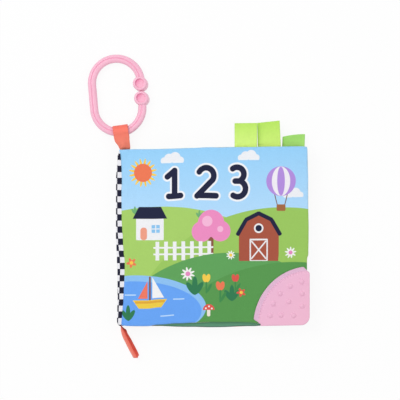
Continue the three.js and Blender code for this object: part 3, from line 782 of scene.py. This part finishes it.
def ribbonFinish(name, build, span, **fixed):
    # painted light and shade: lighter towards the middle or the end of its length, as its painted shading settings
    # say, darker across its width by the fade setting, with darker edges
    slope, start, fold, fade = build["paintedShading"]
    code, light = (ink(c) for c in build["colours"])

    def look(uv, place):
        b = satinBuild
        spot = uv.vector("MULTIPLY", (build["width"], span, 1.0))
        ribs = (spot.part(1) * b["ribs"]).maths("SINE") * b["ribDepth"]
        threads = (spot.part(0) * b["threads"]).maths("SINE") * b["threadDepth"]
        mottle = place.noise(*b["mottle"]).maths("MULTIPLY_ADD", b["mottleDepth"], 1 - b["mottleDepth"] / 2)
        # painted light: share blends from the ribbon's colour to its lighter colour along the length
        share = uv.part(1).maths("PINGPONG", fold).maths("MULTIPLY_ADD", slope, start, clamp=True)
        edge = abs(uv.part(0) - 0.5).maths("GREATER_THAN", 0.5 - b["edge"])
        # painted shade: the fade setting darkens the colour across the width
        base = (share * (uv.part(0) * -fade + 1.0)).blend(code, light)
        base = (edge * b["edgeDepth"]).blend(base, code)
        return {"Base Color": base.scaled(mottle), "Bump": (ribs + threads, b["relief"] * mm)}

    return finish(name, look, **fixed)


def fromFoot(build, place):
    turned = Matrix.Rotation(radians(build["turn"]), 3, "Z") @ Vector(place)
    return turned + Vector(build["foot"])


def arcPoints(centre, radius, start, end, steps):
    return [(centre[0] + radius * cos(a), centre[1] + radius * sin(a))
            for a in (radians(mixed(start, end, i / steps)) for i in range(steps + 1))]


def alongPath(path, share):
    lengths = [0.0]
    for (ax, ay), (bx, by) in zip(path, path[1:]):
        lengths.append(lengths[-1] + hypot(bx - ax, by - ay))
    at = min(max(share, 0.0), 1.0) * lengths[-1]
    for i in range(len(path) - 1):
        if at <= lengths[i + 1] or i == len(path) - 2:
            part = (at - lengths[i]) / (lengths[i + 1] - lengths[i])
            return mixed(path[i][0], path[i + 1][0], part), mixed(path[i][1], path[i + 1][1], part)


def pathLength(path):
    return sum(hypot(bx - ax, by - ay) for (ax, ay), (bx, by) in zip(path, path[1:]))


# the second of each tab's colours is painted sheen, blended in towards the roots by the painted shading settings
tabs = [
    {"name": "first_lime_tab", "page": "page_1", "leaf": 3, "slot": "lime_ribbon", "colours": ("BCEA5F", "DBFB84"),
     "x": 28.93, "width": 19.3, "taper": -0.012, "length": 21.5, "slope": 0.1, "lean": 0.0, "arch": 0.0, "lift": 0.5,
     "seed": 1.0},
    {"name": "second_lime_tab", "page": "page_2", "leaf": 2, "slot": "lime_ribbon", "colours": ("B7E758", "D6F97D"),
     "x": 49.35, "width": 19.9, "taper": 0.03, "length": 22.8, "slope": 1.0, "lean": 0.8, "arch": 0.0, "lift": 0.3,
     "seed": 2.0},
    {"name": "green_tab", "page": "page_3", "leaf": 1, "slot": "green_ribbon", "colours": ("9EDC68", "B2EE7A"),
     "x": 70.2, "width": 19.4, "taper": 0.0, "length": 11.1, "slope": 1.15, "lean": -0.4, "arch": 0.6, "lift": 0.2,
     "seed": 3.0},
]
tabBuild = {
    "half": 0.34, "footHalf": 0.13, "root": -1.6, "flat": 0.8, "full": 3.5, "seamY": 76.3, "thickness": 0.26,
    "ripple": 0.3, "paintedShading": (-2.2, 1.1, 0.5, 0.0),
}

for tab in tabs:
    b = {**tabBuild, **tab}
    length, half, footHalf = b["length"], b["half"], b["footHalf"]
    path = [(b["root"], footHalf), (b["flat"], footHalf), (b["full"], half), (length - half, half)]
    path += arcPoints((length - half, 0.0), half, 90, -90, 8)[1:] + [(x, -y) for x, y in reversed(path[:3])]

    def place(s, t):
        along, up = alongPath(path, (t + 1) / 2)
        reach = max(0.0, along / length)
        x = b["x"] + s * b["width"] / 2 * (1 - b["taper"] * reach) - b["lean"] * reach
        y = b["seamY"] + along * (1 + b["slope"] * s / length) + b["arch"] * reach * (1 - s * s)
        ripple = b["ripple"] * reach * drift(x / 8, along / 7, b["seed"])
        return x, y, leafMiddle(b["leaf"]) + up + b["lift"] * reach ** 2 + ripple

    ribbon = addPiece(f"{tab['name']}_ribbon", clothGrid(30, 110, place),
                      ribbonFinish(tab["name"], b, pathLength(path), **satin), None, [tab["name"]],
                      b["thickness"], 0.0)
    pathLength(path) * mm
    z = leafMiddle(tab["leaf"]) * mm
    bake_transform(ribbon)
print("tabs folded")


# Ribbon loop that holds the ring. Its foot is gathered into the seam at the head of the spine
# its lighter second colour is painted light, laid on the slopes down to the foot, which face away from the lamps
loopBuild = {
    "foot": (-76.4, 76.6, 1.95), "turn": 8.0, "centre": (14.8, 3.8), "radius": 5.25, "width": 13.2, "footWidth": 8.6,
    "root": -1.8, "footHalf": 0.16, "thickness": 0.28, "spread": 10.0, "pinch": 0.9, "gather": 0.45,
    "gatherLength": 8.0, "flare": 0.6, "shift": 0.7, "colours": ("F97360", "FF8B74"), "paintedShading": (-2.9, 1.4, 0.5, 0.0),
    "top": [(0.5, 5.0), (-0.2, 4.5), (-0.7, 3.6), (-1.0, 2.2), (-1.2, 0.9), (-1.45, 0.16), (-2.0, 0.16)],
}
b = loopBuild
centre, radius = b["centre"], b["radius"]
reach = hypot(*centre)
facing = degrees(atan2(-centre[1], -centre[0]))
touch = degrees(acos(radius / reach))
loopPath = [(b["root"], -b["footHalf"]), (0.4, -b["footHalf"])]
loopPath += arcPoints(centre, radius, facing + touch, facing + 360 - touch, 40)
loopPath += b["top"]
loopSpan = pathLength(loopPath)


def loopPlace(s, t):
    b = loopBuild
    along, up = alongPath(loopPath, (t + 1) / 2)
    share = eased(along / b["spread"])
    x = s * (mixed(b["footWidth"], b["width"], share) / 2 - b["pinch"] * eased((0.6 - along) / 2.4))
    if t > 0:
        gather = (1 - eased((along - 1) / b["gatherLength"])) * eased((along + 1.2) / 2)
        up += gather * (b["gather"] * cos(4.2 * s + 0.6) - 0.1)
        x += b["flare"] * ((1 - share) * (1 + s) - sin(pi * share) * (1 - s) / 2)
    x -= b["shift"] * share
    tilt = tan(radians(b["turn"])) * (1 - share)
    return fromFoot(b, (x, along - x * tilt, up))


loop = addPiece("ring_ribbon_loop", clothGrid(24, 130, loopPlace),
                ribbonFinish("coral_ribbon", b, loopSpan, **satin), None, ["ring_ribbon"],
                b["thickness"], 0.0)
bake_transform(loop)


# Ribbon tag at the foot of the spine, a pinched loop that stands on its edge and leans over
# its lighter second colour is painted light on the left strand; the right strand is left darker as painted shade
tagBuild = {
    "foot": (-78.9, -77.7, 0.4), "turn": -62.6, "length": 30.4, "width": 10.5, "neck": 0.22, "swell": 0.55,
    "tip": 0.7, "root": -3.2, "flat": 0.8, "steps": 12, "thickness": 0.3, "leftLean": -3.7, "rightLean": 2.0,
    "overlap": 0.95, "tuck": 0.75, "rightDrop": 0.16, "mouth": 0.9, "mouthAt": 5.5, "mouthReach": 2.0,
    "endWidth": 0.88, "ripple": 0.3, "shear": 0.9, "colours": ("F04F3A", "FD9581"), "paintedShading": (-10.0, 5.6, 1.0, 0.7),
}
b = tagBuild
tagPath = [(b["root"], -b["neck"]), (b["flat"], -b["neck"])]
for share in (i / b["steps"] for i in range(1, b["steps"])):
    away = mixed(b["neck"], b["swell"], sin(pi * share)) + (b["tip"] - b["neck"]) * eased(share)
    tagPath.append((mixed(b["flat"], b["length"] - b["tip"], share), -away))
tagPath += arcPoints((b["length"] - b["tip"], 0.0), b["tip"], -90, 90, 8)
tagPath += [(x, -y) for x, y in reversed(tagPath[:b["steps"] + 1])]
tagSpan = pathLength(tagPath)


def tagPlace(s, t):
    b = tagBuild
    along, side = alongPath(tagPath, (t + 1) / 2)
    up = (s + 1) / 2
    share = eased((along + 2) / 7)
    isRight = eased(0.5 + side / (2 * b["tip"]))
    mouth = b["mouth"] * exp(-((along - b["mouthAt"]) / b["mouthReach"]) ** 2)
    leftWay = b["leftLean"] * (1 - up) + b["overlap"]
    rightWay = b["rightLean"] * (1 - up) - b["tuck"] + mouth
    side += share * (mixed(leftWay, rightWay, isRight) + b["ripple"] * drift(along / 9, 0.5, 4.0))
    z = up * b["width"] * mixed(1.0, b["endWidth"], share) * (1 - b["rightDrop"] * isRight)
    z += b["ripple"] * share * drift(along / 8, 2.0, 9.0)
    along += b["shear"] * share * (up - 0.5)
    return fromFoot(b, (along, side, max(0.0, z)))


tagLook = ribbonFinish("foot_tag_ribbon", b, tagSpan, Roughness=0.7, Specular_IOR_Level=0.2)
tag = addPiece("spine_foot_tag_ribbon", clothGrid(20, 120, tagPlace), tagLook, None,
               ["spine_foot_tag"], b["thickness"], 0.0)
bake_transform(tag)
print("ribbons sewn")


# Link ring
ringBuild = {
    "pathRadius": 21.2, "straight": 21.5, "barWidth": 7.25, "barThickness": 6.0, "barPower": 0.86, "startTurn": 1.0,
    "endGap": 2.4, "pinch": 0.6, "steps": 56, "groove": 0.6, "grooveHalf": 0.42, "skew": (-0.75, 0.55),
    "discDiameter": 12.35, "discThickness": 8.0, "discGap": 0.5, "discX": 20.8, "discPairUp": 1.7, "discRound": 1.5,
    "dimple": 4.1, "dimpleDepth": 1.7, "dimpleFloor": 3.4, "dimpleRound": 0.5, "dimpleClear": 0.5, "lift": 30.84,
    "place": (-79.4, 91.5, 5.75), "turn": 5.0, "lean": -1.818,
    "section": [0, 16, 32, 46, 56, 62, *range(66, 119, 4), 124, 134, 148, 164, 180],
}


def grooveShare(x, y):
    # how deep a place lies in the moulding groove, which wanders a little towards one side
    b = ringBuild
    along = max(-b["straight"] / 2, min(b["straight"] / 2, y))
    reach = hypot(x, y - along)
    line = (x * b["skew"][0] + (y - along) * b["skew"][1]) / reach
    return exp(-((reach - b["pathRadius"] - line) / b["grooveHalf"]) ** 2)


def ringBar():
    b = ringBuild
    bm = bmesh.new()
    angles = b["section"] + [-a for a in reversed(b["section"][1:-1])]
    section = bmesh.ops.create_circle(bm, segments=len(angles), radius=1)["verts"]
    half = b["straight"] / 2
    for vert, angle in zip(section, angles):
        ways = (cos(radians(angle)), sin(radians(angle)))
        out, up = (copysign(abs(way) ** b["barPower"], way) for way in ways)
        vert.co = Vector((b["pathRadius"] + out * b["barWidth"] / 2, half, up * b["barThickness"] / 2))
    turn = radians(b["startTurn"])
    bmesh.ops.rotate(bm, cent=(0, half, 0), matrix=Matrix.Rotation(turn, 3, "Z"), verts=section)
    edges = list({e for v in section for e in v.link_edges})

    def pushed(edges, move):
        grown = bmesh.ops.extrude_edge_only(bm, edges=edges)["geom"]
        bmesh.ops.translate(bm, vec=move, verts=vertsOf(grown))
        return edgesOf(grown)

    def turned(edges, middle, angle):
        verts = list({v for e in edges for v in e.verts})
        made = bmesh.ops.spin(bm, geom=verts + edges, cent=middle, axis=(0, 0, 1), dvec=(0, 0, 0), angle=angle,
                              steps=b["steps"])
        return edgesOf(made["geom_last"])

    edges = turned(edges, (0, half, 0), pi - turn)
    for _ in range(8):
        edges = pushed(edges, (0, -b["straight"] / 8, 0))
    edges = turned(edges, (0, -half, 0), pi)
    pushed(edges, (0, b["endGap"], 0))
    bmesh.ops.holes_fill(bm, edges=bm.edges[:], sides=len(angles))
    for vert in bm.verts:
        x, y, z = vert.co
        if abs(z) > b["barThickness"] / 4:
            vert.co.z -= copysign(b["groove"] * grooveShare(x, y), z)
        vert.co.x -= b["pinch"] * eased((x - 5) / 12) * eased((-y - 5) / 7)
    return bm


def discMiddle(side, lean=0.0):
    # the discs and their dimples lean the way their upper faces are shifted
    b = ringBuild
    away = side * (b["discDiameter"] + b["discGap"]) / 2
    return b["discX"] + b["skew"][0] * lean, b["discPairUp"] + away + b["skew"][1] * lean, 0.0


def barClearings():
    # the bar stops short of the dimples
    b = ringBuild
    bm = bmesh.new()
    wide = b["dimple"] + b["dimpleClear"]
    for side in (1, -1):
        made = bmesh.ops.create_cone(bm, cap_ends=True, segments=48, radius1=wide, radius2=wide,
                                     depth=2 * b["barThickness"])["verts"]
        bmesh.ops.translate(bm, vec=discMiddle(side), verts=made)
    return bm


def ringDisc(side):
    b = ringBuild
    bm = bmesh.new()
    h, edge, hollow = b["discThickness"] / 2, b["discRound"], b["dimpleRound"]
    low, reach = h - b["dimpleDepth"], b["dimpleFloor"]
    profile = [(0.0, low), (reach, low)] + arcPoints((reach, low + hollow), hollow, -90, 0, 4)[1:]
    profile += arcPoints((b["dimple"] + 0.3, h - hollow), hollow, 180, 90, 4)
    profile += arcPoints((b["discDiameter"] / 2 - edge, h - edge), edge, 90, 0, 6)
    profile += [(x, -y) for x, y in reversed(profile)]
    made = [bm.verts.new((x, 0, y)) for x, y in profile]
    edges = [bm.edges.new(pair) for pair in zip(made, made[1:])]
    bmesh.ops.spin(bm, geom=made + edges, cent=(0, 0, 0), axis=(0, 0, 1), dvec=(0, 0, 0), angle=2 * pi,
                   steps=b["steps"], use_merge=True)
    bmesh.ops.remove_doubles(bm, verts=bm.verts[:], dist=0.0001)
    for vert in bm.verts:
        lean = vert.co.z / h
        vert.co += Vector((b["skew"][0] * lean, b["skew"][1] * lean, 0))
    bmesh.ops.translate(bm, vec=discMiddle(side), verts=bm.verts[:])
    return bm


def paintRecessShade(bm):
    # painted shade: the moulding groove and the dimples are coloured a deeper, darker pink, darkest as a crescent on
    # the dimples' upper-left walls, which face away from the light
    b = ringBuild
    layer = bm.verts.layers.float.new("groove")
    for vert in bm.verts:
        x, y, z = vert.co
        middles = [discMiddle(side, z / (b["discThickness"] / 2)) for side in (1, -1)]
        discAway, u, v = min((hypot(x - u, y - v), u, v) for u, v, _ in middles)
        if discAway < b["dimple"] + 0.35 and abs(z) < b["discThickness"] / 2 - 0.2:
            paintedShading = max(0.0, (y - v) - (x - u)) / (discAway * sqrt(2) + 0.01)
            vert[layer] = 0.15 + (0.85 * paintedShading ** 1.5 if discAway > b["dimple"] - 0.75 else 0.0)
        elif discAway > b["discDiameter"] / 2 + 0.1 and abs(z) > b["barThickness"] / 4:
            vert[layer] = 0.6 * grooveShare(x, y)


def plasticLook(uv, place):
    haze = place.noise(220.0, 4.0)
    depth = place.node("ShaderNodeAttribute", {"attribute_name": "groove"}, {}, 2)
    pink = haze.blend(ink("F7B6CE"), ink("F9BED4"))
    # the "groove" attribute is painted shade: it blends the pink towards the darker F08FB6
    return {"Base Color": depth.blend(pink, ink("F08FB6")), "Roughness": haze.maths("MULTIPLY_ADD", 0.12, 0.24),
            "Bump": (place.noise(1400.0, 2.0), 0.01 * mm)}


def joined(name, parts, cutters=()):
    # one closed skin from overlapping shells, less the cutters
    made = []
    for i, bm in enumerate([*parts, *cutters]):
        bmesh.ops.recalc_face_normals(bm, faces=bm.faces[:])
        made.append(newObject(f"{name}_{i}", meshFrom(bm, f"{name}_{i}")))
    for i, shell in enumerate(made[1:], 1):
        union = made[0].modifiers.new("Join", "BOOLEAN")
        union.operation = "UNION" if i < len(parts) else "DIFFERENCE"
        union.solver = "EXACT"
        union.object = shell
    graph = bpy.context.evaluated_depsgraph_get()
    mesh = bpy.data.meshes.new_from_object(made[0].evaluated_get(graph))
    for shell in made:
        bpy.data.objects.remove(shell)
    bm = bmesh.new()
    bm.from_mesh(mesh)
    bpy.data.meshes.remove(mesh)
    return bm


b = ringBuild
discs = [ringDisc(side) for side in (1, -1)]
ringMesh = joined("ring", [joined("bar", [ringBar()], [barClearings()]), *discs])
# paints shade into the groove and the dimples
paintRecessShade(ringMesh)
bmesh.ops.translate(ringMesh, vec=(0, b["lift"], 0), verts=ringMesh.verts[:])
turned, leant = (Matrix.Rotation(radians(b[way]), 4, axis) for way, axis in (("turn", "Z"), ("lean", "X")))
seat = Matrix.Scale(mm, 4) @ Matrix.Translation(b["place"]) @ turned @ leant
bmesh.ops.transform(ringMesh, matrix=seat, verts=ringMesh.verts[:])
plastic = finish("pink_plastic", plasticLook, Specular_IOR_Level=0.45, Coat_Weight=0.15, Coat_Roughness=0.25)
ring = addPiece("ring_bar", ringMesh, plastic, "link_ring", ["link_ring"])
ring.data.set_sharp_from_angle(angle=radians(50))
print("ring moulded")


# Corner teether
teetherBuild = {
    "corner": (83.7, -75.9), "slant": 0.02, "spread": (0.955, 1.012), "radius": 50.0, "wall": 1.5, "top": 3.0,
    "back": -2.7, "edgeRound": 0.9, "cornerRound": 7.5, "pocketHalf": 1.5, "bodyOver": 0.7, "bodyEnds": (93, 177),
    "rim": 4.6, "rimTop": 2.25, "rimRound": 0.5, "rimUnder": 1.0, "rimWide": 1.018, "rimEnds": (6.6, 7.2),
    "footEnd": [(-49.2, 5.6), (-48.6, 5.0), (-43.9, 2.3), (-42.9, 2.3)],
    "headEnd": [(-0.3, 43.6), (-0.3, 44.7), (-5.2, 49.4)],
    "bump": 2.1, "bumpHeight": 1.25, "bumps": [
        (7.0, 37.4), (16.8, 33.8), (25.6, 27.7), (6.7, 27.3), (31.3, 18.9), (18.1, 20.5), (6.7, 16.5), (34.1, 8.9),
        (24.7, 9.0), (13.9, 8.5)],
    "stitches": 23, "stitchFrom": 9.5, "stitchSize": (0.8, 0.5, 0.75), "stitchIn": 0.55, "stitchTurn": 0.35,
    "stitchSink": 0.2, "voxel": 0.33,
}


def bevelled(bm, edges, offset, segments):
    bmesh.ops.bevel(bm, geom=edges, offset=offset, offset_type="OFFSET", segments=segments, profile=0.5,
                    affect="EDGES", material=-1)


def outlinePlate(chain, low, high, rounding):
    # a plate over a closed chain of arcs, with its rims rounded over
    bm = bmesh.new()
    wide, tall = teetherBuild["spread"]
    face = bm.faces.new([bm.verts.new((x * wide, y * tall, low)) for x, y in chain])
    grown = bmesh.ops.extrude_face_region(bm, geom=[face], use_keep_orig=True)
    bmesh.ops.translate(bm, vec=(0, 0, high - low), verts=vertsOf(grown["geom"]))
    bmesh.ops.recalc_face_normals(bm, faces=bm.faces[:])
    rims = [e for e in bm.edges if abs(e.verts[0].co.z - e.verts[1].co.z) < 0.001]
    bevelled(bm, rims, rounding, 4)
    return bm


def teetherBody():
    b = teetherBuild
    r, c = b["radius"] - b["rim"] + b["bodyOver"], b["cornerRound"]
    chain = [(1.9 - r, 0.0)] + arcPoints((-c, c), c, -90, 0, 14) + [(0.0, r - 2.0), (-1.2, r - 0.9)]
    chain += arcPoints((0.0, 0.0), r, *b["bodyEnds"], 60) + [(1.9 - r, 1.8)]
    return outlinePlate(chain, b["back"], b["top"], b["edgeRound"])


def teetherRim():
    b = teetherBuild
    low, high = 90 + b["rimEnds"][0], 180 - b["rimEnds"][1]
    chain = arcPoints((0.0, 0.0), b["radius"], low, high, 60) + b["footEnd"]
    chain += arcPoints((0.0, 0.0), b["radius"] - b["rim"] - b["rimUnder"], high, low, 60) + b["headEnd"]
    return outlinePlate([(x * b["rimWide"], y) for x, y in chain], -b["rimTop"], b["rimTop"], b["rimRound"])


def teetherBumps():
    b = teetherBuild
    bm = bmesh.new()

    def ball(across, along, radius, size, turn, place):
        verts = bmesh.ops.create_uvsphere(bm, u_segments=across, v_segments=along, radius=radius)["verts"]
        bmesh.ops.scale(bm, vec=size, verts=verts)
        bmesh.ops.rotate(bm, matrix=Matrix.Rotation(turn, 3, "Z"), verts=verts)
        bmesh.ops.translate(bm, vec=place, verts=verts)

    for fromFore, fromFoot in b["bumps"]:
        ball(20, 12, b["bump"], (1, 1, b["bumpHeight"] / b["bump"]), 0.0, (-fromFore, fromFoot, b["top"]))
    at = b["radius"] - b["rim"] + b["stitchIn"]
    wide, tall = b["spread"]
    for i in range(b["stitches"]):
        turn = radians(mixed(90 + b["stitchFrom"], 180 - b["stitchFrom"], i / (b["stitches"] - 1)))
        place = (at * cos(turn) * wide, at * sin(turn) * tall, b["top"] - b["stitchSink"])
        ball(10, 8, 1, b["stitchSize"], turn + b["stitchTurn"], place)
    return bm


def pocketCutter():
    b = teetherBuild
    bm = bmesh.new()
    made = bmesh.ops.create_cube(bm, size=1)["verts"]
    bmesh.ops.scale(bm, vec=(100, 100, 2 * b["pocketHalf"]), verts=made)
    bmesh.ops.translate(bm, vec=(-b["wall"] - 50, b["wall"] + 50, 0), verts=made)
    corner = [e for e in bm.edges if all(v.co.x > -50 and v.co.y < 50 for v in e.verts)]
    bevelled(bm, corner, b["cornerRound"] - b["wall"], 8)
    return bm


def siliconeLook(uv, place):
    b = teetherBuild
    (wide, tall), (x, y) = b["spread"], b["corner"]
    cloud = place.noise(60.0, 3.0)
    fromCorner = place.vector("MULTIPLY_ADD", (1000 / wide, 1000 / tall, 0.0), (-x / wide, -y / tall, 0.0))
    rimAway = fromCorner.vector("LENGTH", output=1) - (b["radius"] - b["rim"] + 0.4)
    isRim = rimAway.maths("MULTIPLY", 1.4, clamp=True)
    warmth = fromCorner.vector("DOT_PRODUCT", (0.016, -0.014, 0.0), output=1).maths("ADD", 0.95, clamp=True)
    base = cloud.blend(warmth.blend(ink("EBB4D4"), ink("F0B2CA")), ink("F2BDD5"))
    base = (isRim * 0.8).blend(base, ink("DCB4D0"))
    return {"Base Color": base, "Roughness": cloud.maths("MULTIPLY_ADD", 0.1, 0.42),
            "Bump": (place.noise(1800.0, 2.0), 0.012 * mm)}


silicone = finish("pink_silicone", siliconeLook, Specular_IOR_Level=0.4)
b = teetherBuild
body = joined("teether", [teetherBody(), teetherRim()], [pocketCutter()])
bumps = meshFrom(teetherBumps(), "bumps")
body.from_mesh(bumps)
bpy.data.meshes.remove(bumps)
slanted = Matrix.Identity(4)
slanted[1][0] = b["slant"]
seat = Matrix.Scale(mm, 4) @ Matrix.Translation((*b["corner"], leafMiddle(4))) @ slanted
bmesh.ops.transform(body, matrix=seat, verts=body.verts[:])
teether = addPiece("corner_teether_moulding", body, silicone, "front_cover", ["corner_teether"])
melt = teether.modifiers.new("Melt", "REMESH")
melt.mode = "VOXEL"
melt.voxel_size = b["voxel"] * mm
melt.use_smooth_shade = True
ease = teether.modifiers.new("Ease", "SMOOTH")
ease.factor = 0.5
ease.iterations = 4
print("teether moulded")


# Studio
studio = {
    "aim": (-0.0106, 0.0316), "height": 1.9306, "lens": 200.0, "world": 0.62, "floorWhite": 0.9, "floorDrop": 0.2,
    "lamps": [((-0.7, 0.6, 1.3), 1.0, 9.0), ((0.9, -0.3, 1.5), 1.4, 4.5)],
}

cameraData = bpy.data.cameras.new("camera")
cameraData.lens = studio["lens"]
cameraData.sensor_width = 36
camera = newObject("camera", cameraData)
camera.location = (*studio["aim"], studio["height"])
bpy.context.scene.camera = camera

for i, (place, size, power) in enumerate(studio["lamps"]):
    lampData = bpy.data.lights.new(f"lamp{i}", "AREA")
    lampData.size, lampData.energy = size, power
    lamp = newObject(f"lamp{i}", lampData)
    lamp.location = place
    lamp.rotation_euler = (-Vector(place)).to_track_quat("-Z", "Y").to_euler()

world = bpy.data.worlds.new("world")
bpy.context.scene.world = world
world.use_nodes = True
background = world.node_tree.nodes["Background"]
sky = Wire(world.node_tree)
seen = combined([sky.node("ShaderNodeLightPath", {}, {}, ray) for ray in (0, 3, 6)], "MAXIMUM")
strength = seen * (1.0 - studio["world"]) + studio["world"]
world.node_tree.links.new(strength.socket, background.inputs["Strength"])
background.inputs["Color"].default_value = (1, 1, 1, 1)

bm = bmesh.new()
bmesh.ops.create_grid(bm, x_segments=1, y_segments=1, size=3)
bmesh.ops.translate(bm, vec=(0, 0, -studio["floorDrop"] * mm), verts=bm.verts[:])
floor = newObject("floor", meshFrom(bm, "floor"))
floorLook = finish("floor", lambda uv, place: {}, Base_Color=(0.93, 0.93, 0.93, 1), Roughness=0.9)
tree = floorLook.node_tree
start = Wire(tree)
seen = combined([start.node("ShaderNodeLightPath", {}, {}, ray) for ray in (0, 3)], "MAXIMUM")
lit = Wire(tree, tree.nodes["Principled BSDF"].outputs[0])
glow = start.node("ShaderNodeEmission", {}, {"Color": (1, 1, 1, 1), "Strength": 1.0})
above = start.node("ShaderNodeMixShader", {}, {0: seen * studio["floorWhite"], 1: lit, 2: glow})
isBelow = start.node("ShaderNodeNewGeometry", {}, {}, 6)
clear = start.node("ShaderNodeBsdfTransparent", {}, {})
whole = start.node("ShaderNodeMixShader", {}, {0: isBelow, 1: above, 2: clear})
tree.links.new(whole.socket, tree.nodes["Material Output"].inputs["Surface"])
floor.data.materials.append(floorLook)

bpy.context.scene.view_settings.view_transform = "Standard"
